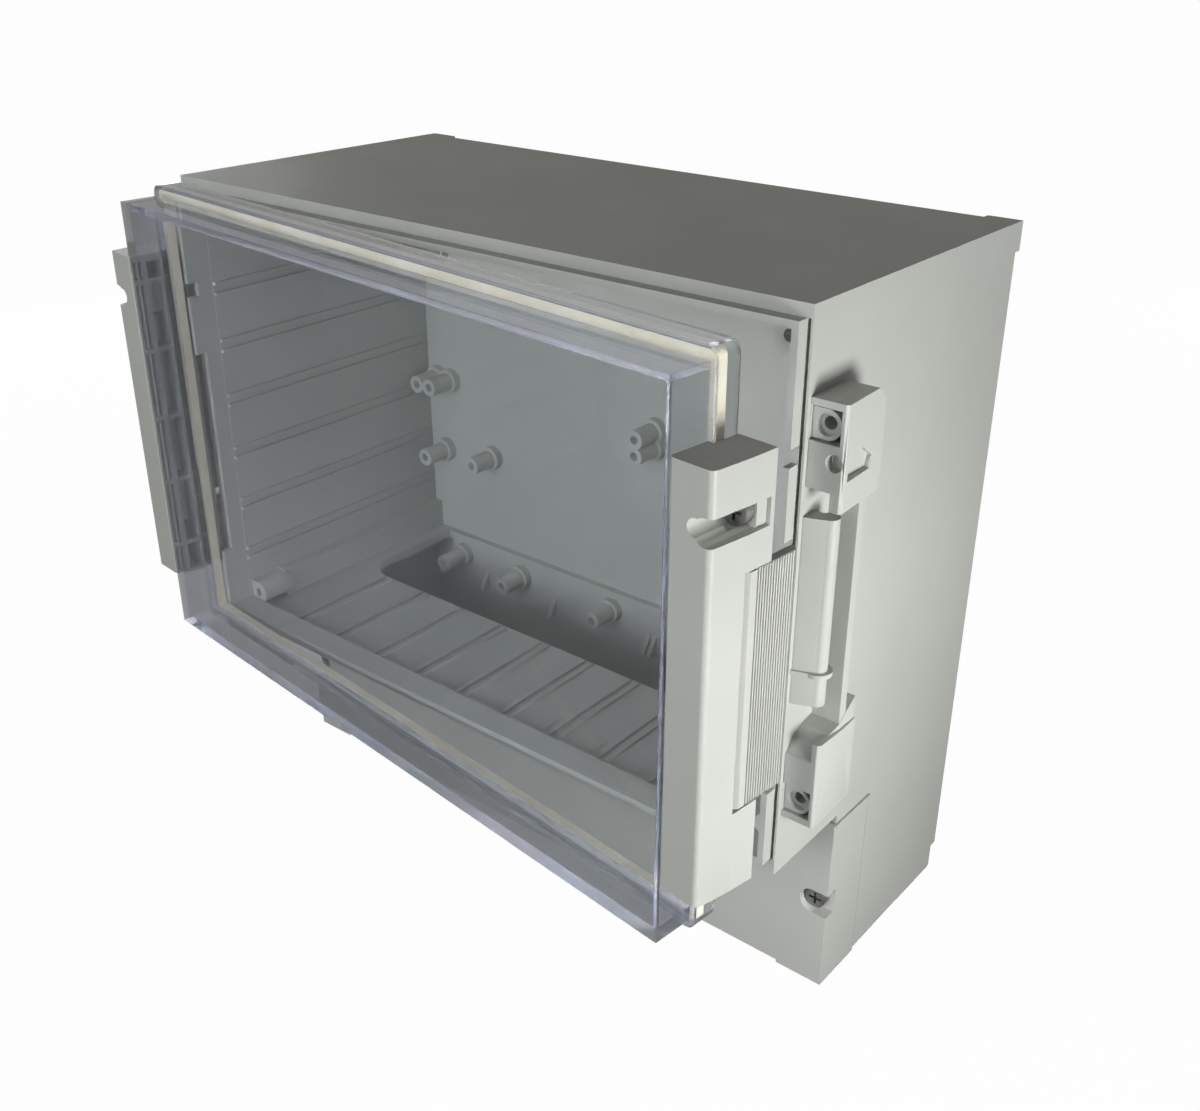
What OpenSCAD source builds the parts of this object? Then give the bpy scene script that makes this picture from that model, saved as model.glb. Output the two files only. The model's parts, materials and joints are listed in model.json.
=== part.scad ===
// Wall-mount instrument enclosure: a light moulded base with a clear lid.
// The lid carries a closure bar on each side. Each bar has a sprung flap whose hook
// holds the round rail of the base bracket: the left one is the hinge, the right one the latch.
//
// Working axes: x = 0 is the mid plane, y = 0 the front rim of the base and y grows
// to the rear, z = 0 the top face and z falls downward. on_base() and on_lid() move
// them into the part's own frame, with its origin in the wall plane, at the centre
// of the back.

/* [Base] */
// Width of the base over its side walls
body_w = 166; // [150:1:200]
// Height of the base, terminal compartment included
body_h = 158.4; // [156:0.4:180]
// Depth from the front rim to the rear edge of the walls
body_d = 77.6; // [72:0.2:110]
// Wall thickness of the base
wall = 2.5; // [2:0.1:3]
// Narrowing of each side toward the rear, per unit of depth
draft = 0.006; // [0:0.001:0.01]
// How far the rear pads stand off the walls
pad_h = 2; // [1:0.5:4]

/* [Shelf and terminal compartment] */
// Underside of the upper compartment, below the top face
upper_h = 112.7; // [108:0.1:114]
// Thickness of the shelf that parts the two compartments
shelf_t = 2.2; // [2:0.1:3]
// Depth of the shelf from the rim to its rear edge
shelf_d = 37; // [30:1:45]
// How far the terminal cover's front stands back from the rim
cover_y = 23.6; // [18:0.2:26]
// Plane where the terminal cover meets the base
part_y = 38; // [36:0.5:42]

/* [Lid] */
// How far the window's sides stand in from the base's sides
lid_inset = 0.6; // [0.2:0.1:1]
// Top edge of the window, below the top face
lid_top = 3.7; // [3:0.1:4.2]
// Bottom edge of the window, below the top face
lid_bottom = 108.8; // [104:0.1:109]
// Distance from the window to the base rim with the lid shut
lid_d = 14.8; // [14.4:0.1:20]
// Wall thickness of the lid
lid_wall = 1.8; // [1.4:0.1:2.2]
// Angle at which the lid stands open at rest
lid_open = 6.2; // [0:0.1:90]

/* [Closure bars] */
// Top end of a bar, below the top face
bar_top = 16.1; // [13:0.1:18]
// Bottom end of a bar, below the top face
bar_bottom = 97; // [94:0.5:98]
// How far the outer face of a bar stands out from the base's side
bar_out = 8.6; // [8:0.1:10]
// Depth of a bar from front to back
bar_d = 14.2; // [13.5:0.1:14.6]
// Wall thickness of a bar
bar_wall = 1.6; // [1.2:0.1:2]
// Top edge of the sprung flap, below the top face
flap_top = 35.3; // [35:0.1:37]
// Bottom edge of the sprung flap, below the top face
flap_bottom = 79.8; // [76:0.2:80]
// Number of grip grooves on a flap
groove_count = 16; // [8:1:18]

/* [Fits] */
// Radial clearance of a running fit
run_gap = 0.05; // [0.02:0.01:0.1]
// Gap between pieces that move past each other
free_gap = 0.3; // [0.3:0.05:0.5]
// Radius of the round rail that a flap hooks
rail_r = 1.7; // [1.5:0.1:2]
// Radius of the flap's pivot pin
pin_r = 0.9; // [0.8:0.1:1]
// Shank radius of every screw
screw_r = 1.5; // [1.3:0.1:1.6]
// Radius of the wall fixing holes
fix_r = 2.2; // [2:0.1:2.6]

/* [Hidden] */
$fn = 48;
eps = 0.01;

half_w = body_w/2;
half_lid = half_w - lid_inset;
bar_x = half_w + bar_out;
wall_plane = body_d + pad_h;
foot_h = 0.7;
base_floor = body_h - foot_h;

// Back panel, set forward of the rear edge of the walls
panel_y = 71;
panel_t = 2.6;

// Front rim: the tongue that presses the gasket
tongue_out = 1.1;
tongue_t = 1.3;
tongue_h = 2.6;
tongue_top = 2.4;
tongue_bottom = 109.3;
groove_depth = 1.6;
rim_d = 4;
mouth_x = half_w - tongue_out - tongue_t;
mouth_top = tongue_top + tongue_t;
mouth_bottom = tongue_bottom - tongue_t;

// Circuit board guides
guide_pitch = 14.1;
guide_t = 0.8;
guide_gap = 1.7;
guide_h = 0.8;
guide_z = [26.5, 40.3, 54.1, 67.9, 81.7, 95.5];
guide_rows = 10;

// Side brackets
bracket_d = 15;
bracket_y = 1;
bracket_out = 7;
block_top = 15.5;
block_mid = 34.7;
low_bottom = 99;
tube_x = half_w + 2.95;
tube_z = [19.85, 94.6];
tube_r = 2.75;
tube_mid_r = 2;
tube_bore_r = 1.2;
pocket_w = 5.8;
pocket_h = 6.1;
pocket_d = 9;
rail_x = half_w + 3.6;
rail_y = 4.2;
rail_top = 37;
rail_bottom = 74;
rail_fin_z = 67.8;
rail_fin_t = 0.9;
rail_fin_r = 2.6;
bar_rib_y = 9.8;
bar_rib_t = 2.2;
lip_t = 1;
lip_top = 31.4;
block_low = 84.7;
edge_cut = 0.5;

// Closure screw axis
screw_x = half_w + 5.1;
screw_z = 26;
screw_head_r = 2.3;
screw_head_h = 2.1;
bush_r = 2.2;
bush_t = 2.4;
bush_y = -lid_d + 10.9;
scoop_r = 2.4;
scoop_x = bar_x - 1.6;
scoop_z = 26.2;
scoop_d = 13.3;
head_recess_r = 2.45;

// Lid edge: flange, skirt and gasket channel
flange_y = -lid_d + 8.8;
flange_t = 1.2;
flange_out = 1.2;
skirt_t = 1;
skirt_end = -0.6;
flange_top = 1.3;
flange_bottom = 110.9;
flange_r = 2.2;
gasket_t = 2;

// Flap and its hook
flap_y = -lid_d + 8.5;
flap_end = -lid_d + 21.6;
flap_t = 1.9;
flap_x = bar_x - flap_t;
pin_x = bar_x - 1.8;
knuckle_r = 1.75;
pin_y = flap_y + knuckle_r;
pin_seat = 2;
flap_room = 0.5;
hook_t = 1.2;
hook_top = 39;
hook_bottom = 66.4;
hook_from = -50;
hook_to = 52;
groove_pitch = 0.65;
groove_w = 0.32;
groove_h = 0.3;

// Terminal cover screws
cover_top = 115;
cover_x = half_w - 3.8;
cover_screw_z = 136.8;
cover_slot_h = 6;
cover_slot_d = 3.4;
cover_boss_r = 3.4;
cover_boss_d = 9;

// Bosses on the back panel: [distance from the side wall's outer face, depth below the top]
boss_r = 2.4;
boss_bore_r = 1.1;
boss_h = 9;
boss_sites = [[8.9, 29.4], [4.5, 29.4], [7.2, 64.5], [11.9, 64.5], [8.9, 85.7],
              [27, 83.7], [14, 117.5], [36.8, 117.5], [69.5, 117]];
mid_boss_z = [62.1, 66.4];
// Bosses just inside the rim, in the corners of the mouth
rim_boss_x = half_w - 5;
rim_boss_r = 2.9;
rim_boss_z = [6.3, 106.4];
rim_boss_y = [1.2, 4.5];
foot_rail_w = 5.4;
gusset_x = [23, 49, 82];
gusset_d = 3;

// Wall fixing holes in the corners of the back panel
fix_x = half_w - 11;
fix_reach = 69.5;
fix_z = [body_h/2 - fix_reach, body_h/2 + fix_reach];
fix_boss_r = 5;

base_grey = [0.74, 0.75, 0.72];
clear_tint = [0.78, 0.82, 0.86, 0.35];
seal_cream = [0.85, 0.82, 0.72];
zinc = [0.7, 0.7, 0.68];

// ---- Placing ----

module on_base() {
    translate([0, -wall_plane, body_h/2]) children();
}

// Turns the closed lid about the left rail to its rest angle
module on_lid() {
    on_base()
        translate([-rail_x, rail_y, 0])
            rotate([0, 0, -lid_open])
                translate([rail_x, -rail_y, 0]) children();
}

// A piece drawn for the right side, on side 1 (right) or -1 (left)
module on_side(side) {
    if (side > 0) children();
    else mirror([1, 0, 0]) children();
}

// Both sides at once
module both_sides() {
    children();
    mirror([1, 0, 0]) children();
}

// ---- Common shapes ----

// Box between two corners
module box(x0, x1, y0, y1, z0, z1) {
    translate([min(x0, x1), min(y0, y1), min(z0, z1)])
        cube([abs(x1 - x0), abs(y1 - y0), abs(z1 - z0)]);
}

// Cylinder along y from y0 to y1
module rod_y(x, z, r, y0, y1) {
    translate([x, y0, z]) rotate([-90, 0, 0]) cylinder(r = r, h = y1 - y0);
}

// Cylinder along z from the depth z0 to z1 below the top face
module rod_z(x, y, r, z0, z1) {
    translate([x, y, -z1]) cylinder(r = r, h = z1 - z0);
}

// Outline in x and y, drawn from the depth z0 to z1 below the top face
module slab_z(z0, z1) {
    translate([0, 0, -z1]) linear_extrude(z1 - z0) children();
}

// Outline in y and z, drawn from x0 to x1
module slab_x(x0, x1) {
    translate([x0, 0, 0]) rotate([90, 0, 90]) linear_extrude(x1 - x0) children();
}

// Block whose side and top faces close in toward the rear
module drafted_block(inset, y0, y1, z0, z1) {
    x0 = half_w - inset - draft*y0;
    x1 = half_w - inset - draft*y1;
    intersection() {
        slab_z(z0, z1) polygon([[-x0, y0], [x0, y0], [x1, y1], [-x1, y1]]);
        slab_x(-body_w, body_w) polygon([[y0, -z1], [y1, -z1], [y1, -z0 - draft*y1], [y0, -z0 - draft*y0]]);
    }
}

// Arc points round a centre
function arc(cx, cy, r, from, to, steps) =
    [for (i = [0:steps]) [cx + r*cos(from + (to - from)*i/steps), cy + r*sin(from + (to - from)*i/steps)]];

// ---- Base ----

// Two thin ribs side by side that guide a board's edge along y
module guide_pair(y0, y1) {
    for (s = [-1, 1])
        translate([s*(guide_gap + guide_t)/2 - guide_t/2, y0, -0.3])
            cube([guide_t, y1 - y0, guide_h + 0.3]);
}

module wall_guides() {
    for (z = guide_z)
        translate([half_w - wall - draft*panel_y/2, 0, -z])
            rotate([0, -90, 0]) guide_pair(rim_d, panel_y - 2);
}

module ceiling_guides() {
    for (i = [0:guide_rows - 1])
        translate([(i - (guide_rows - 1)/2)*guide_pitch, 0, -wall - draft*panel_y/2])
            rotate([0, 180, 0]) guide_pair(rim_d + 2, shelf_d);
}

// Boss on the back panel, with a blind hole from the front
module back_boss(x, z) {
    difference() {
        union() {
            rod_y(x, -z, boss_r, panel_y - boss_h, panel_y + eps);
            rod_y(x, -z, boss_r + 0.9, panel_y - 2.2, panel_y + eps);
        }
        rod_y(x, -z, boss_bore_r, panel_y - boss_h - 1, panel_y - 1);
    }
}

// Triangular gusset between the back panel and a boss or the panel's foot
module gusset(x, z) {
    translate([0, 0, -z])
        slab_x(x - 0.6, x + 0.6) polygon([[panel_y + eps, -4], [panel_y + eps, 1], [panel_y - gusset_d, -4]]);
}

// Screw boss just inside the rim, in a corner of the mouth
module corner_boss(z, y0, y1) {
    rod_y(rim_boss_x, -z, rim_boss_r, y0, y1);
    box(rim_boss_x, half_w - 1, y0, y1, -z - rim_boss_r, -z + rim_boss_r);
}

// Wall fixing: tube from the back panel to the wall plane, with a through hole
module fixing_tube(x, z) {
    rod_y(x, -z, fix_boss_r, panel_y, wall_plane);
    box(x, half_w - 2, panel_y + 1, body_d - 0.4, -z - 1, -z + 1);
}

module base_outside() {
    difference() {
        union() {
            drafted_block(0, 0, body_d, 0, upper_h);
            drafted_block(0, cover_y + 0.6, body_d, upper_h - 1, cover_top - 0.2);
            drafted_block(0, part_y, body_d, upper_h - 1, base_floor);
            // rear feet
            both_sides() box(half_w - 11.5, half_w - 0.6, body_d - 18, body_d, -body_h, -base_floor + 1);
            // lugs at the rear top corners
            both_sides() box(half_w - 8, half_w - 0.5, body_d - 2, wall_plane, -6.5, -0.5);
        }
        // step at the rear bottom corners
        both_sides() box(half_w - 10, half_w + 1, body_d - 2, body_d + 1, -body_h - 1, -152);
        // mouth in front of the shelf
        box(-mouth_x, mouth_x, -1, rim_d + eps, -mouth_bottom, -mouth_top);
    }
}

// The two hollows of the shell, and the recess behind the back panel
module base_hollows() {
    difference() {
        drafted_block(wall, rim_d, panel_y, wall, upper_h - eps);
        box(-half_w, half_w, -1, rim_d, -body_h, 0);
    }
    drafted_block(wall, cover_y + 1, panel_y, upper_h - 1, cover_top);
    drafted_block(wall, part_y - 1, panel_y, upper_h - 1, base_floor - wall);
    drafted_block(wall, panel_y + panel_t, body_d + 1, wall, base_floor - wall);
}

module tongue() {
    x = half_w - tongue_out;
    notch_z = 27.3;
    notch_h = 3.3;
    gap_top = 41;
    gap_bottom = 92.8;
    difference() {
        box(-x, x, -tongue_h, 1, -tongue_bottom, -tongue_top);
        box(-mouth_x, mouth_x, -tongue_h - 1, 2, -mouth_bottom, -mouth_top);
        both_sides() box(mouth_x - 1, x + 1, -tongue_h - 1, 0, -notch_z, -notch_z + notch_h);
        both_sides() box(mouth_x - 1, x + 1, -tongue_h - 1, 0, -gap_bottom, -gap_top);
    }
}

module base_shell() {
    color(base_grey) on_base() {
        difference() {
            union() {
                difference() {
                    base_outside();
                    base_hollows();
                }
                tongue();
                both_sides() {
                    for (z = fix_z) fixing_tube(fix_x, z);
                    for (s = boss_sites) back_boss(half_w - s[0], s[1]);
                    for (x = gusset_x) gusset(half_w - x, 121.5);
                    wall_guides();
                    corner_boss(rim_boss_z[0], rim_boss_y[0], 12);
                    corner_boss(rim_boss_z[1], rim_boss_y[1], 14);
                    // rail along the foot of the side wall
                    box(half_w - foot_rail_w, half_w - 1.5, 13, panel_y + eps, -upper_h + shelf_t, -103);
                    // boss behind the terminal cover's screw
                    rod_y(cover_x, -cover_screw_z, cover_boss_r, part_y, part_y + cover_boss_d);
                    box(cover_x, half_w - 1, part_y, part_y + cover_boss_d,
                        -cover_screw_z - cover_boss_r, -cover_screw_z + cover_boss_r);
                }
                ceiling_guides();
                for (z = mid_boss_z) back_boss(0, z);
            }
            both_sides() {
                for (z = fix_z) rod_y(fix_x, -z, fix_r, panel_y - 1, wall_plane + 1);
                rod_y(cover_x, -cover_screw_z, screw_r + run_gap, part_y - 1, part_y + cover_boss_d - 1);
                for (i = [0, 1]) rod_y(rim_boss_x, -rim_boss_z[i], boss_bore_r, rim_boss_y[i] - 1, rim_boss_y[i] + 7);
                // groove round the outside of the tongue
                box(half_w - tongue_out, half_w - 0.45, -1, groove_depth, -tongue_bottom, -tongue_top);
            }
        }
    }
}

// Shelf between the compartments, with a rounded drop for the wiring behind it
module partition_shelf() {
    side_x = half_w - wall - draft*panel_y - 0.03;
    drop_x = half_w - 10;
    drop_r = 8;
    color(base_grey) on_base() {
        difference() {
            slab_z(upper_h - shelf_t, upper_h - 0.02) difference() {
                translate([-side_x, rim_d]) square([2*side_x, panel_y - rim_d]);
                union() {
                    translate([-drop_x, shelf_d + drop_r]) square([2*drop_x, panel_y - shelf_d - drop_r - 2]);
                    translate([-drop_x + drop_r, shelf_d]) square([2*(drop_x - drop_r), drop_r + 1]);
                    for (s = [-1, 1]) translate([s*(drop_x - drop_r), shelf_d + drop_r]) circle(r = drop_r);
                }
            }
        }
        for (i = [0:guide_rows - 1])
            translate([(i - (guide_rows - 1)/2)*guide_pitch, 0, -upper_h + shelf_t])
                guide_pair(rim_d + 2, shelf_d - 1);
    }
}

// ---- Side brackets ----

// Outline of a bracket block from x0 outward: its inner face lies on the drafted side wall
module block_outline(y1, x0 = 0) {
    out = half_w + bracket_out;
    intersection() {
        polygon([[half_w - draft*bracket_y, bracket_y], [out - edge_cut, bracket_y],
                 [out, bracket_y + edge_cut], [out - 0.6, y1], [half_w - draft*y1, y1]]);
        translate([x0, 0]) square([body_w, body_d]);
    }
}

module tube_pocket(z) {
    box(tube_x - pocket_w/2 + 0.05, tube_x + pocket_w/2, bracket_y - 1, bracket_y + pocket_d,
        -z - pocket_h/2, -z + pocket_h/2);
}

module bracket(side) {
    out = half_w + bracket_out;
    color(base_grey) on_base() on_side(side) {
        difference() {
            union() {
                slab_z(block_top, lip_top) block_outline(bracket_d);
                slab_z(block_low, low_bottom) block_outline(bracket_d);
                // outer walls that run on past the blocks toward the flap
                slab_z(lip_top - eps, block_mid) block_outline(bracket_d, out - lip_t - 0.6);
                intersection() {
                    slab_z(79, block_low + eps) block_outline(bracket_d, out - lip_t - 0.6);
                    slab_x(half_w, out + 1)
                        polygon([[0, -80.5], [bar_rib_y, -81.5], [bracket_d, -81.5],
                                 [bracket_d, -86], [0, -86]]);
                }
                // saddle that leads into the lower block
                intersection() {
                    slab_z(75, block_low + eps) block_outline(bracket_d);
                    slab_x(half_w - 1, out - lip_t)
                        polygon([[bracket_y, -86], [bracket_y, -85.2], [3.4, -82.6], [6.3, -81],
                                 [bar_rib_y, -80.5], [bracket_d, -76.8], [bracket_d, -86]]);
                }
                // outer rib behind the rail
                slab_z(lip_top - 1, 82)
                    polygon([[half_w - draft*bar_rib_y, bar_rib_y], [out - 1.2, bar_rib_y],
                             [out - 1.2, bar_rib_y + bar_rib_t],
                             [half_w - draft*(bar_rib_y + bar_rib_t), bar_rib_y + bar_rib_t]]);
            }
            for (z = tube_z) tube_pocket(z);
            rod_y(screw_x, -screw_z, screw_r + run_gap, 0, bracket_y + 2.2);
            // sunken window in the outer face
            slab_x(out - 1.4, out + 1)
                polygon([[2.6, -29.3], [2.6, -26], [7.6, -24.6], [11, -27], [10.4, -29.3]]);
            // chamfer along the top edge
            translate([0, 0, -block_top])
                slab_x(half_w - 1, out + 1) polygon([[bracket_d - 3, 0.01], [bracket_d + 1, 0.01], [bracket_d + 1, -4]]);
        }
    }
}

module bracket_left() { bracket(-1); }
module bracket_right() { bracket(1); }

// Convex rail whose round crest carries the flap's hook
module rail(side) {
    web = 1.2;
    ramp_r = 20;
    crest_a = -62;
    crest_r = rail_r - 0.04;
    crest = [rail_x + crest_r*cos(crest_a), rail_y + crest_r*sin(crest_a)];
    ramp = arc(crest[0] - ramp_r*cos(crest_a), crest[1] - ramp_r*sin(crest_a), ramp_r,
               crest_a - 13, crest_a, 6);
    y0 = ramp[0][1];
    y1 = rail_y + web/2;
    fin_out = 0.6;
    fin_y1 = rail_y + 1.6;
    color(base_grey) on_base() on_side(side) {
        rod_z(rail_x, rail_y, rail_r, rail_top, rail_bottom);
        slab_z(rail_top, rail_bottom)
            polygon(concat([[half_w - draft*y1, y1], [half_w - draft*y0, y0]], ramp,
                           [[rail_x, rail_y], [rail_x, y1]]));
        // fin across the rail, below the hook
        slab_z(rail_fin_z - rail_fin_t, rail_fin_z) {
            translate([rail_x, rail_y]) circle(r = rail_fin_r);
            polygon([[half_w - draft*y0, y0 - fin_out], [crest[0], crest[1] - fin_out],
                     [rail_x, fin_y1], [half_w - draft*fin_y1, fin_y1]]);
        }
    }
}

module hinge_rail_left() { rail(-1); }
module catch_rail_right() { rail(1); }

// Stepped tubes that stand in the bracket's pockets
module bracket_tubes(side) {
    color(base_grey) on_base() on_side(side) {
        for (z = tube_z) difference() {
            union() {
                rod_y(tube_x, -z, tube_r, bracket_y + 0.6, bracket_y + pocket_d);
                box(tube_x - tube_r, tube_x, bracket_y + 0.6, bracket_y + pocket_d, -z - tube_r + 0.05, -z + tube_r - 0.05);
            }
            rod_y(tube_x, -z, tube_mid_r, bracket_y, bracket_y + 1.8);
            rod_y(tube_x, -z, tube_bore_r, bracket_y, bracket_y + pocket_d - 1);
        }
    }
}

module bracket_tubes_left() { bracket_tubes(-1); }
module bracket_tubes_right() { bracket_tubes(1); }

// ---- Terminal cover ----

module terminal_cover() {
    x = half_w - draft*cover_y;
    low = body_h - foot_h;
    color(base_grey) on_base() difference() {
        union() {
            difference() {
                drafted_block(0, cover_y, part_y - 0.1, cover_top, low);
                drafted_block(wall, cover_y + wall, part_y + 1, cover_top + wall, low - wall);
            }
            both_sides() {
                // front feet
                box(half_w - 11.5, x, cover_y, part_y - 0.1, -body_h, -low + 1);
                // screw columns in the corners
                rod_y(cover_x, -cover_screw_z, cover_boss_r, cover_y + 1, part_y - 0.1);
                box(cover_x, x - 1, cover_y + 1, part_y - 0.1,
                    -cover_screw_z - cover_boss_r, -cover_screw_z + cover_boss_r);
                // ridge along the cover's upper edge
                box(x - 1, half_w + 0.25, cover_y + 0.4, part_y - 0.1, -cover_top - 0.8, -cover_top);
            }
        }
        both_sides() {
            // racetrack notch that lets the driver in
            rod_y(cover_x, -cover_screw_z, cover_slot_h/2, cover_y - 1, cover_y + cover_slot_d);
            box(cover_x, half_w + 1, cover_y - 1, cover_y + cover_slot_d,
                -cover_screw_z - cover_slot_h/2, -cover_screw_z + cover_slot_h/2);
            rod_y(cover_x, -cover_screw_z, screw_r + run_gap, cover_y, part_y + 1);
        }
    }
}

// Cross-recessed screw along y with its head at the front
module screw(x, z, y_head, y_tip) {
    difference() {
        union() {
            rod_y(x, -z, screw_head_r, y_head, y_head + screw_head_h);
            rod_y(x, -z, screw_r, y_head + screw_head_h - eps, y_tip);
        }
        for (w = [[3, 0.6], [0.6, 3]])
            box(x - w[0]/2, x + w[0]/2, y_head - 1, y_head + 1.1, -z - w[1]/2, -z + w[1]/2);
    }
}

module terminal_screw(side) {
    y_head = cover_y + cover_slot_d - screw_head_h;
    color(zinc) on_base() on_side(side) screw(cover_x, cover_screw_z, y_head, part_y + 6);
}

module terminal_screw_left() { terminal_screw(-1); }
module terminal_screw_right() { terminal_screw(1); }

// ---- Lid ----

// Box of the lid's outline with rounded edges along y
module lid_ring(x, z0, z1, r, y0, y1) {
    translate([0, y1, 0]) rotate([90, 0, 0]) linear_extrude(y1 - y0) {
        translate([-x + r, -z1]) square([2*(x - r), z1 - z0]);
        translate([-x, -z1 + r]) square([2*x, z1 - z0 - 2*r]);
        for (sx = [-1, 1]) {
            for (z = [-z0 - r, -z1 + r]) translate([sx*(x - r), z]) circle(r = r);
        }
    }
}

module lid_window() {
    in_x = half_lid - lid_wall;
    flange_x = half_lid + flange_out;
    color(clear_tint) on_lid() difference() {
        union() {
            box(-half_lid, half_lid, -lid_d, flange_y + flange_t, -lid_bottom, -lid_top);
            lid_ring(flange_x, flange_top, flange_bottom, flange_r, flange_y, skirt_end);
        }
        box(-in_x, in_x, -lid_d + lid_wall, 1, -lid_bottom + lid_wall, -lid_top - lid_wall);
        lid_ring(flange_x - skirt_t, flange_top + skirt_t, flange_bottom - skirt_t, flange_r - skirt_t,
                 flange_y + flange_t, 1);
    }
}

module lid_gasket() {
    gap = 0.05;
    in_x = half_lid - lid_wall + gap;
    out_x = half_lid + flange_out - skirt_t - gap;
    y0 = flange_y + flange_t;
    color(seal_cream) on_lid() difference() {
        lid_ring(out_x, flange_top + skirt_t + gap, flange_bottom - skirt_t - gap,
                 flange_r - skirt_t - gap, y0, y0 + gasket_t);
        box(-in_x + 2*gap, in_x - 2*gap, y0 - 1, y0 + gasket_t + 1,
            -lid_bottom + lid_wall + gap, -lid_top - lid_wall - gap);
    }
}

// ---- Closure bars ----

bar_in = half_lid + free_gap/2;

// Bar outline, with a rounded outer front corner and a side that swells a little toward the rear
module bar_outline() {
    y0 = -lid_d;
    y1 = -lid_d + bar_d;
    soft = 0.6;
    corner_r = 1.1;
    swell = 0.35;
    polygon(concat([[bar_in, y1], [bar_in, y0 + soft], [bar_in + soft, y0]],
                   arc(bar_x - swell - corner_r, y0 + corner_r, corner_r, -90, 0, 5),
                   [[bar_x, y0 + 8.2], [bar_x, y1]]));
}

module bar(side) {
    y0 = -lid_d;
    y1 = -lid_d + bar_d;
    in_x = bar_x - bar_wall;
    ribs_z = [22.2, 38.4, 55, 71.2, 88];
    ribs_y = [y0 + 4, y0 + 8.6];
    rib_t = 1.2;
    color(base_grey) on_lid() on_side(side) difference() {
        union() {
            difference() {
                slab_z(bar_top, bar_bottom) bar_outline();
                // hollow, open toward the lid
                box(bar_in - 1, in_x, y0 + bar_wall, y1 - bar_wall, -bar_bottom + bar_wall, -bar_top - bar_wall);
            }
            intersection() {
                slab_z(bar_top, bar_bottom) bar_outline();
                union() {
                    for (z = ribs_z) box(bar_in, in_x + eps, y0 + 1, y1 - 1, -z - rib_t/2, -z + rib_t/2);
                    for (y = ribs_y) box(bar_in, in_x + eps, y - rib_t/2, y + rib_t/2, -bar_bottom + 1, -bar_top - 1);
                    // housing round the closure screw and the pin seats
                    box(screw_x - 3.6, in_x + eps, y0 + 1, y1 - 1, -screw_z - 4, -screw_z + 3.6);
                    box(flap_x - 3, in_x + eps, flap_y - 3, y1 - 1, -flap_top + 0.5, -flap_top + 4);
                    box(flap_x - 3, in_x + eps, flap_y - 3, y1 - 1, -flap_bottom - 4, -flap_bottom - 0.5);
                    box(flap_x - 3, in_x + eps, flap_y - 3, flap_y, -flap_bottom - 1, -flap_top + 1);
                }
            }
        }
        // room for the lid's flange
        box(bar_in - 1, half_lid + flange_out + free_gap/2, flange_y - 0.2, y1 + 1, -bar_bottom - 1, -bar_top + 1);
        // opening for the flap
        box(pin_x - knuckle_r - flap_room, bar_x + 1, flap_y - flap_room, y1 + 1, -flap_bottom - free_gap, -flap_top + free_gap);
        // pin seats
        rod_z(pin_x, pin_y, pin_r, flap_top - pin_seat - 0.3, flap_bottom + pin_seat + 0.3);
        // driver scoop, open to the front and the side, with the screw's recess at its end
        rod_y(scoop_x, -scoop_z, scoop_r, y0 - 1, bush_y);
        box(scoop_x, bar_x + 1, y0 - 1, bush_y, -scoop_z - scoop_r, -scoop_z + scoop_r);
        box(bar_x - 0.8, bar_x + 1, bush_y - 1, y0 + scoop_d, -scoop_z - scoop_r, -scoop_z + scoop_r);
        rod_y(screw_x, -screw_z, head_recess_r, y0 + 6.5, bush_y);
        rod_y(screw_x, -screw_z, bush_r, bush_y - 1, bush_y + bush_t);
        rod_y(screw_x, -screw_z, screw_r + 0.15, y0, y1 + 1);
        // slanted lower end
        slab_x(bar_in - 1, bar_x + 1)
            polygon([[y0 - 1, -bar_bottom - 0.01], [y1, -bar_bottom - 0.01], [y0 - 1, -bar_bottom + 1.4]]);
    }
}

module hinge_bar_left() { bar(-1); }
module closure_bar_right() { bar(1); }

// Ring sector that hooks round the rail
module hook_outline() {
    r0 = rail_r + run_gap;
    polygon(concat(arc(rail_x, rail_y, r0 + hook_t, hook_from, hook_to, 12),
                   arc(rail_x, rail_y, r0, hook_to, hook_from, 12)));
}

module flap(side) {
    color(base_grey) on_lid() on_side(side) difference() {
        union() {
            slab_z(flap_top, flap_bottom)
                polygon([[flap_x, flap_y + 1], [flap_x, flap_end], [bar_x - 1.2, flap_end],
                         [bar_x, flap_end - 1.2], [bar_x, flap_y + 1], [bar_x - 0.9, flap_y]]);
            rod_z(pin_x, pin_y, knuckle_r, flap_top, flap_bottom);
            difference() {
                slab_z(hook_top, hook_bottom) union() {
                    hook_outline();
                    polygon([[rail_x + rail_r + run_gap + 0.3, rail_y - 2], [flap_x + eps, rail_y - 4],
                             [flap_x + eps, flap_end], [rail_x + rail_r + run_gap + 0.3, flap_end]]);
                }
                rod_z(rail_x, rail_y, rail_r + run_gap, hook_top - 1, hook_bottom + 1);
            }
            // stiffening ribs behind the plate
            for (z = [hook_top, hook_bottom - 1.2])
                box(flap_x - 1.2, flap_x + eps, pin_y, rail_y - 3.2, -z - 1.2, -z);
        }
        rod_z(pin_x, pin_y, pin_r + run_gap, flap_top - 1, flap_bottom + 1);
        for (i = [0:groove_count - 1])
            box(bar_x - groove_h, bar_x + 1, flap_end - 0.5 - i*groove_pitch - groove_w,
                flap_end - 0.5 - i*groove_pitch, -flap_bottom - 1, -flap_top + 1);
    }
}

module hinge_flap_left() { flap(-1); }
module latch_flap_right() { flap(1); }

module flap_pin(side) {
    color(zinc) on_lid() on_side(side)
        rod_z(pin_x, pin_y, pin_r, flap_top - pin_seat, flap_bottom + pin_seat);
}

module flap_pin_left() { flap_pin(-1); }
module flap_pin_right() { flap_pin(1); }

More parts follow.
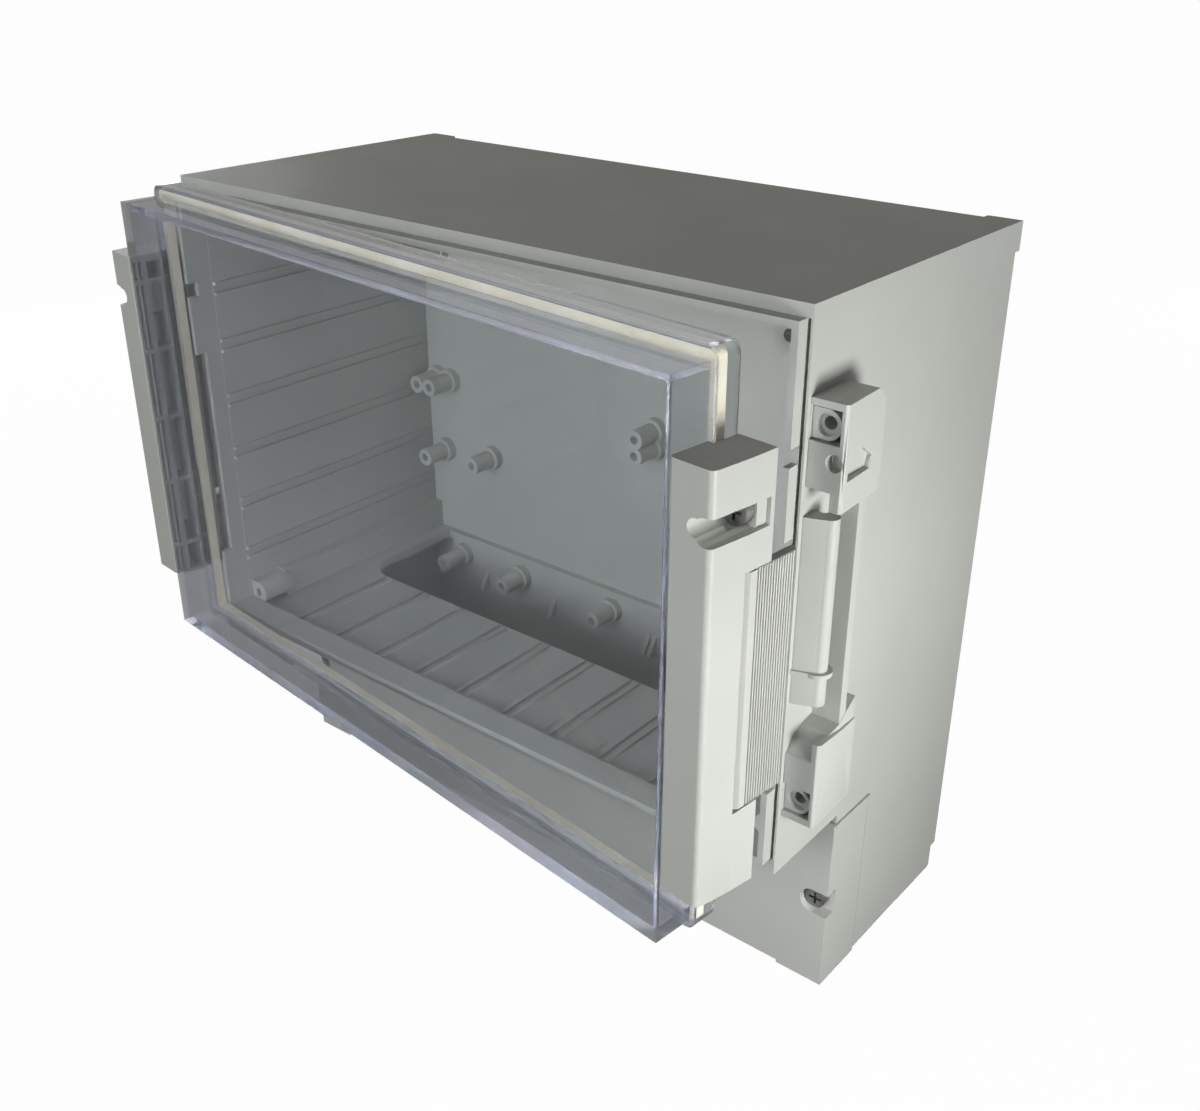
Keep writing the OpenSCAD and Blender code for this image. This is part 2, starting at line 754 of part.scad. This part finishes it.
module closure_bush(side) {
    color(base_grey) on_lid() on_side(side) difference() {
        rod_y(screw_x, -screw_z, bush_r, bush_y, bush_y + bush_t);
        rod_y(screw_x, -screw_z, screw_r + run_gap, bush_y - 1, bush_y + bush_t + 1);
    }
}

module closure_bush_left() { closure_bush(-1); }
module closure_bush_right() { closure_bush(1); }

module closure_screw(side) {
    color(zinc) on_lid() on_side(side)
        screw(screw_x, screw_z, bush_y - screw_head_h - 0.02, bar_d - lid_d - 0.1);
}

module closure_screw_left() { closure_screw(-1); }
module closure_screw_right() { closure_screw(1); }

base_shell();
partition_shelf();
bracket_left();
bracket_right();
hinge_rail_left();
catch_rail_right();
bracket_tubes_left();
bracket_tubes_right();
terminal_cover();
terminal_screw_left();
terminal_screw_right();
lid_window();
lid_gasket();
hinge_bar_left();
closure_bar_right();
hinge_flap_left();
latch_flap_right();
flap_pin_left();
flap_pin_right();
closure_bush_left();
closure_bush_right();
closure_screw_left();
closure_screw_right();
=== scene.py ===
import json
import math
import bpy
from mathutils import Matrix, Vector


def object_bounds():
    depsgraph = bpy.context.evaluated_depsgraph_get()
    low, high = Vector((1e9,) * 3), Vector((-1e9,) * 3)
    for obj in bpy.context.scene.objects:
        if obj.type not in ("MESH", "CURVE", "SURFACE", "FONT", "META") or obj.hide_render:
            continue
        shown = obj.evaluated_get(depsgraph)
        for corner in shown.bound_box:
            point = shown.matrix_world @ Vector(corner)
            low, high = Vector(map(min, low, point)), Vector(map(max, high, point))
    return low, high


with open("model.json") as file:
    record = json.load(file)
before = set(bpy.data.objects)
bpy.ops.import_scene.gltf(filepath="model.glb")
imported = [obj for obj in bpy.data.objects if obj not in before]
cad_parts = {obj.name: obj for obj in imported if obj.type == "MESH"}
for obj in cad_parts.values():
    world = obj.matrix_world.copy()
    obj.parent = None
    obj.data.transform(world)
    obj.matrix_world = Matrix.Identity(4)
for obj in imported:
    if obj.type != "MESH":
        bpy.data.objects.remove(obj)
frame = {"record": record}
CAD_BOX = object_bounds()

scene = bpy.context.scene
scene.view_settings.view_transform = "Standard"

# Floor: height, half width, paint, and the share of white that the camera sees
FLOOR_Z = CAD_BOX[0][2]
FLOOR_REACH = 3.0
FLOOR_COLOUR = (0.28, 0.28, 0.28, 1.0)
FLOOR_WHITE = 0.985

# Share of the background's white that is seen through clear plastic, and in gloss low down and from above
SEEN_THROUGH = 0.3
PASSED_ON_WHITE = 0.2
PASSED_ON_SKY = 0.8

# Detail sizes of the moulding's grain and of the foam's cells, as texture scales
GRAIN_SCALE = 1600.0
CELL_SCALE = 1400.0

# Colour that clear plastic takes on in its depth, and how fast
DEPTH_COLOUR = (0.42, 0.48, 0.72, 1.0)
DEPTH_STRENGTH = 95.0


# ---- Materials: node helpers ----

def new_material(name):
    """A material with an empty node tree but for its output and a Principled shader."""
    mat = bpy.data.materials.new(name)
    mat.use_nodes = True
    nodes = mat.node_tree.nodes
    nodes.clear()
    out = nodes.new("ShaderNodeOutputMaterial")
    shader = nodes.new("ShaderNodeBsdfPrincipled")
    mat.node_tree.links.new(shader.outputs["BSDF"], out.inputs["Surface"])
    return mat, nodes, mat.node_tree.links, shader


def grey(level):
    return (level, level, level, 1.0)


def object_coords(nodes):
    return nodes.new("ShaderNodeTexCoord").outputs["Object"]


def noise(nodes, links, coords, scale, detail=4.0, roughness=0.55):
    tex = nodes.new("ShaderNodeTexNoise")
    tex.inputs["Scale"].default_value = scale
    tex.inputs["Detail"].default_value = detail
    tex.inputs["Roughness"].default_value = roughness
    links.new(coords, tex.inputs["Vector"])
    return tex.outputs["Fac"]


def ramp(nodes, links, factor, stops):
    node = nodes.new("ShaderNodeValToRGB")
    node.color_ramp.elements[0].position = stops[0][0]
    node.color_ramp.elements[0].color = stops[0][1]
    node.color_ramp.elements[1].position = stops[-1][0]
    node.color_ramp.elements[1].color = stops[-1][1]
    for place, colour in stops[1:-1]:
        node.color_ramp.elements.new(place).color = colour
    links.new(factor, node.inputs["Fac"])
    return node.outputs["Color"]


def grey_range(nodes, links, factor, low, high):
    node = nodes.new("ShaderNodeMapRange")
    node.inputs["To Min"].default_value = low
    node.inputs["To Max"].default_value = high
    links.new(factor, node.inputs["Value"])
    return node.outputs["Result"]


def bump(nodes, links, height, strength, distance, normal=None):
    node = nodes.new("ShaderNodeBump")
    node.inputs["Strength"].default_value = strength
    node.inputs["Distance"].default_value = distance
    links.new(height, node.inputs["Height"])
    if normal is not None:
        links.new(normal, node.inputs["Normal"])
    return node.outputs["Normal"]


def arithmetic(nodes, links, operation, first, second):
    """A Math node of two values, each of them a socket or a plain number."""
    node = nodes.new("ShaderNodeMath")
    node.operation = operation
    for i, value in enumerate((first, second)):
        if isinstance(value, float):
            node.inputs[i].default_value = value
        else:
            links.new(value, node.inputs[i])
    return node.outputs[0]


def mix_shaders(nodes, links, share, first, second):
    """Two shaders as one, with the given share of the second."""
    node = nodes.new("ShaderNodeMixShader")
    links.new(share, node.inputs["Fac"])
    links.new(first, node.inputs[1])
    links.new(second, node.inputs[2])
    return node.outputs["Shader"]


# ---- Materials: what the pieces are made of ----

def moulded_plastic(name, colour, rough=0.55):
    """Light grey moulded plastic: spark-eroded grain, faint flow clouds and handling marks."""
    mat, nodes, links, shader = new_material(name)
    coords = object_coords(nodes)
    clouds = noise(nodes, links, coords, 18.0, detail=5.0, roughness=0.6)
    dark = [c*0.94 for c in colour] + [1.0]
    light = [min(1.0, c*1.03) for c in colour] + [1.0]
    tint = ramp(nodes, links, clouds, [(0.32, dark), (0.68, light)])
    links.new(tint, shader.inputs["Base Color"])
    smears = noise(nodes, links, coords, 60.0, detail=3.0)
    links.new(grey_range(nodes, links, smears, rough - 0.08, rough + 0.08), shader.inputs["Roughness"])
    grain_tex = noise(nodes, links, coords, GRAIN_SCALE, detail=2.0, roughness=0.6)
    waves = noise(nodes, links, coords, 35.0, detail=2.0, roughness=0.5)
    soft = bump(nodes, links, waves, strength=0.08, distance=0.0006)
    grained = bump(nodes, links, grain_tex, strength=0.22, distance=0.0002, normal=soft)
    links.new(grained, shader.inputs["Normal"])
    return mat


def clear_plastic(name, tint, straight):
    """Clear polycarbonate: part of the view bends, part goes straight, and lamps shine through."""
    mat, nodes, links, shader = new_material(name)
    out = nodes["Material Output"]
    coords = object_coords(nodes)
    haze = noise(nodes, links, coords, 30.0, detail=5.0)
    clouded = [c*0.97 for c in tint] + [1.0]
    hazed = ramp(nodes, links, haze, [(0.35, clouded), (0.65, tint + [1.0])])
    links.new(hazed, shader.inputs["Base Color"])
    shader.inputs["Transmission Weight"].default_value = 1.0
    shader.inputs["IOR"].default_value = 1.2
    shader.inputs["Coat Weight"].default_value = 0.8
    shader.inputs["Coat Roughness"].default_value = 0.02
    shader.inputs["Coat IOR"].default_value = 1.5
    links.new(grey_range(nodes, links, haze, 0.0, 0.015), shader.inputs["Roughness"])
    waves = noise(nodes, links, coords, 14.0, detail=2.0)
    links.new(bump(nodes, links, waves, strength=0.03, distance=0.0006), shader.inputs["Normal"])
    lamplight = nodes.new("ShaderNodeBsdfTransparent")
    lamplight.inputs["Color"].default_value = [math.sqrt(c) for c in tint] + [1.0]
    path = nodes.new("ShaderNodeLightPath").outputs
    share = arithmetic(nodes, links, "MAXIMUM", path["Is Shadow Ray"], straight)
    mixed = mix_shaders(nodes, links, share, shader.outputs["BSDF"], lamplight.outputs["BSDF"])
    links.new(mixed, out.inputs["Surface"])
    depth = nodes.new("ShaderNodeVolumeAbsorption")
    depth.inputs["Color"].default_value = DEPTH_COLOUR
    depth.inputs["Density"].default_value = DEPTH_STRENGTH
    links.new(depth.outputs["Volume"], out.inputs["Volume"])
    return mat


def foam_seal(name):
    """Cream foam rubber with fine cells."""
    mat, nodes, links, shader = new_material(name)
    coords = object_coords(nodes)
    cells = nodes.new("ShaderNodeTexVoronoi")
    cells.inputs["Scale"].default_value = CELL_SCALE
    links.new(coords, cells.inputs["Vector"])
    clouds = noise(nodes, links, coords, 90.0)
    tint = ramp(nodes, links, clouds, [(0.3, (0.72, 0.66, 0.50, 1)), (0.7, (0.86, 0.82, 0.70, 1))])
    links.new(tint, shader.inputs["Base Color"])
    shader.inputs["Roughness"].default_value = 0.85
    pitted = bump(nodes, links, cells.outputs["Distance"], strength=0.5, distance=0.0003)
    links.new(pitted, shader.inputs["Normal"])
    shader.inputs["Subsurface Weight"].default_value = 0.1
    shader.inputs["Subsurface Scale"].default_value = 0.002
    return mat


def zinc_steel(name):
    """Zinc-plated steel of the screws, in patchy darker and lighter tones."""
    mat, nodes, links, shader = new_material(name)
    coords = object_coords(nodes)
    clouds = noise(nodes, links, coords, 400.0, detail=5.0)
    tint = ramp(nodes, links, clouds, [(0.3, (0.20, 0.20, 0.19, 1)), (0.7, (0.42, 0.42, 0.40, 1))])
    links.new(tint, shader.inputs["Base Color"])
    shader.inputs["Metallic"].default_value = 1.0
    links.new(grey_range(nodes, links, clouds, 0.25, 0.5), shader.inputs["Roughness"])
    return mat


def whiteness(nodes, links, passed_on):
    """How white the background is: to the camera, through clear plastic, and in part in gloss."""
    path = nodes.new("ShaderNodeLightPath").outputs
    mirrored = arithmetic(nodes, links, "MULTIPLY", path["Is Glossy Ray"], passed_on)
    through = arithmetic(nodes, links, "MULTIPLY", path["Is Transmission Ray"], SEEN_THROUGH)
    indirect = arithmetic(nodes, links, "MAXIMUM", mirrored, through)
    return arithmetic(nodes, links, "MAXIMUM", path["Is Camera Ray"], indirect)


def pale_ground(name, colour, white_share):
    """Floor paint: nearly white to the camera, with what is left of it taking the object's shadow."""
    mat, nodes, links, shader = new_material(name)
    shader.inputs["Base Color"].default_value = colour
    shader.inputs["Roughness"].default_value = 0.9
    shader.inputs["Specular IOR Level"].default_value = 0.0
    white = nodes.new("ShaderNodeEmission")
    share = arithmetic(nodes, links, "MULTIPLY", whiteness(nodes, links, PASSED_ON_WHITE), white_share)
    mixed = mix_shaders(nodes, links, share, shader.outputs["BSDF"], white.outputs["Emission"])
    links.new(mixed, nodes["Material Output"].inputs["Surface"])
    return mat


BASE_PLASTIC = moulded_plastic("base_plastic", (0.462, 0.478, 0.452))
BAR_PLASTIC = moulded_plastic("bar_plastic", (0.455, 0.47, 0.445), rough=0.5)
CLEAR = clear_plastic("clear_polycarbonate", [0.80, 0.805, 0.79], straight=0.05)
# A darker blue copy of the clear plastic for the lid's rounded edges: painted edge shade
CLEAR_PAINTED_EDGE_SHADE = clear_plastic("clear_painted_edge_shade", [0.27, 0.31, 0.52], straight=0.9)
SEAL = foam_seal("seal_foam")
ZINC = zinc_steel("zinc")

BY_SLOT = {
    "base_plastic": BASE_PLASTIC,
    "bar_plastic": BAR_PLASTIC,
    "clear_polycarbonate": CLEAR,
    "seal_foam": SEAL,
    "zinc": ZINC,
}


def dress_cad_nodes():
    """Gives every CAD node the finish of its record slot."""
    slots = {part["node"]: part["material_slot"] for part in frame["record"]["subparts"]}
    for node, slot in slots.items():
        obj = bpy.data.objects[node]
        obj.data.materials.clear()
        obj.data.materials.append(BY_SLOT[slot])


dress_cad_nodes()


# Vertices nearer than this are one, and an edge sharper than this angle is rounded
TOUCH = 0.00001
SHARP = math.radians(40)


def soften_edges(node, width, material):
    """Rounds a CAD node's sharp edges by a moulding's small radius."""
    obj = bpy.data.objects[node]
    weld = obj.modifiers.new("weld", "WELD")
    weld.merge_threshold = TOUCH
    soft = obj.modifiers.new("soft_edges", "BEVEL")
    soft.width = width
    soft.segments = 2
    soft.limit_method = "ANGLE"
    soft.angle_limit = SHARP
    soft.use_clamp_overlap = True
    soft.material = material


# Radius of each node's edges, in metres
EDGE_RADIUS = {
    "base_shell": 0.00035,
    "bracket_left": 0.00025,
    "bracket_right": 0.00025,
    "terminal_cover": 0.00035,
    "hinge_bar_left": 0.0007,
    "closure_bar_right": 0.0007,
    "hinge_flap_left": 0.00012,
    "latch_flap_right": 0.00012,
    "lid_window": 0.0004,
}

# The lid's rounded edges take its second material, the painted dark blue edge shade
for edge_node, edge_width in EDGE_RADIUS.items():
    soften_edges(edge_node, edge_width, 1 if edge_node == "lid_window" else 0)
bpy.data.objects["lid_window"].data.materials.append(CLEAR_PAINTED_EDGE_SHADE)


# ---- Camera ----

CAM_POS = (0.18833, -0.26160, 0.13780)
CAM_AIM = (-0.56740, 0.69433, -0.44267)
CAM_RIGHT = (0.77396, 0.63323, 0.00119)
CAM_LENS = 40.672


def add_camera():
    """The camera stands in front, above and to the right, and looks down at the lid."""
    data = bpy.data.cameras.new("camera")
    cam = bpy.data.objects.new("camera", data)
    scene.collection.objects.link(cam)
    scene.camera = cam
    data.sensor_fit = "HORIZONTAL"
    data.sensor_width = 36.0
    data.lens = CAM_LENS
    data.clip_start = 0.01
    data.clip_end = 20.0
    back = -Vector(CAM_AIM).normalized()
    right = Vector(CAM_RIGHT).normalized()
    up = back.cross(right)
    turn = Matrix((right, up, back)).transposed().to_4x4()
    cam.matrix_world = Matrix.Translation(Vector(CAM_POS)) @ turn


add_camera()


# ---- Floor, backdrop and light ----


def add_floor():
    """A pale sweep: white to the camera, plain to the light."""
    mesh = bpy.data.meshes.new("floor")
    corners = [(x*FLOOR_REACH, y*FLOOR_REACH, FLOOR_Z) for x, y in ((-1, -1), (1, -1), (1, 1), (-1, 1))]
    mesh.from_pydata(corners, [], [(0, 1, 2, 3)])
    floor = bpy.data.objects.new("floor", mesh)
    scene.collection.objects.link(floor)
    floor.data.materials.append(pale_ground("floor_paint", FLOOR_COLOUR, FLOOR_WHITE))


WARM_WHITE = (1.0, 1.0, 0.98)
COOL_WHITE = (0.98, 1.0, 0.99)

# Name, place, aim, size, power, colour and whether it shows through clear plastic
LAMPS = (
    ("side", (0.23, -0.112, 0.01), (0.09, -0.065, 0.01), (0.06, 0.06), 0.33, WARM_WHITE, True),
    ("near", (0.15, -0.27, 0.03), (0.09, -0.10, 0.0), (0.08, 0.08), 0.015, (1.0, 1.0, 0.99), True),
    ("fill", (0.02, -0.55, 0.13), (0.0, -0.04, 0.0), (0.25, 0.2), 1.35, COOL_WHITE, True),
    ("back", (0.12, 0.60, 0.05), (0.0, 0.0, 0.0), (0.25, 0.2), 1.5, COOL_WHITE, False),
    ("left", (-0.52, 0.16, 0.05), (-0.08, -0.04, 0.0), (0.2, 0.2), 1.2, COOL_WHITE, False),
)


def area_light(name, place, aim, size, power, colour, through_plastic):
    """A soft rectangular lamp that the camera doesn't see."""
    data = bpy.data.lights.new(name, "AREA")
    data.shape = "RECTANGLE"
    data.size, data.size_y = size
    data.energy = power
    data.color = colour
    lamp = bpy.data.objects.new(name, data)
    scene.collection.objects.link(lamp)
    lamp.location = place
    lamp.visible_camera = False
    lamp.visible_transmission = through_plastic
    lamp.rotation_euler = (Vector(aim) - Vector(place)).to_track_quat("-Z", "Y").to_euler()


def set_world(zenith, horizon, zenith_colour, horizon_colour):
    """Soft light from the sides and little from above; white where the camera looks past the object."""
    world = bpy.data.worlds.new("world")
    scene.world = world
    world.use_nodes = True
    nodes, links = world.node_tree.nodes, world.node_tree.links
    nodes.clear()
    out = nodes.new("ShaderNodeOutputWorld")
    direction = nodes.new("ShaderNodeTexCoord").outputs["Generated"]
    split = nodes.new("ShaderNodeSeparateXYZ")
    links.new(direction, split.inputs["Vector"])
    light = nodes.new("ShaderNodeBackground")
    tint = ramp(nodes, links, split.outputs["Z"], [(0.1, horizon_colour), (0.7, zenith_colour)])
    links.new(tint, light.inputs["Color"])
    links.new(grey_range(nodes, links, split.outputs["Z"], horizon, zenith), light.inputs["Strength"])
    white = nodes.new("ShaderNodeBackground")
    white.inputs["Color"].default_value = (1.0, 1.0, 1.0, 1.0)
    stops = [(0.15, grey(PASSED_ON_WHITE)), (0.45, grey(PASSED_ON_SKY))]
    sky = ramp(nodes, links, split.outputs["Z"], stops)
    share = whiteness(nodes, links, sky)
    mixed = mix_shaders(nodes, links, share, light.outputs["Background"], white.outputs["Background"])
    links.new(mixed, out.inputs["Surface"])


add_floor()
set_world(zenith=0.07, horizon=0.08, zenith_colour=(1.0, 0.80, 0.60, 1.0), horizon_colour=(0.95, 0.98, 1.0, 1.0))
for lamp_settings in LAMPS:
    area_light(*lamp_settings)
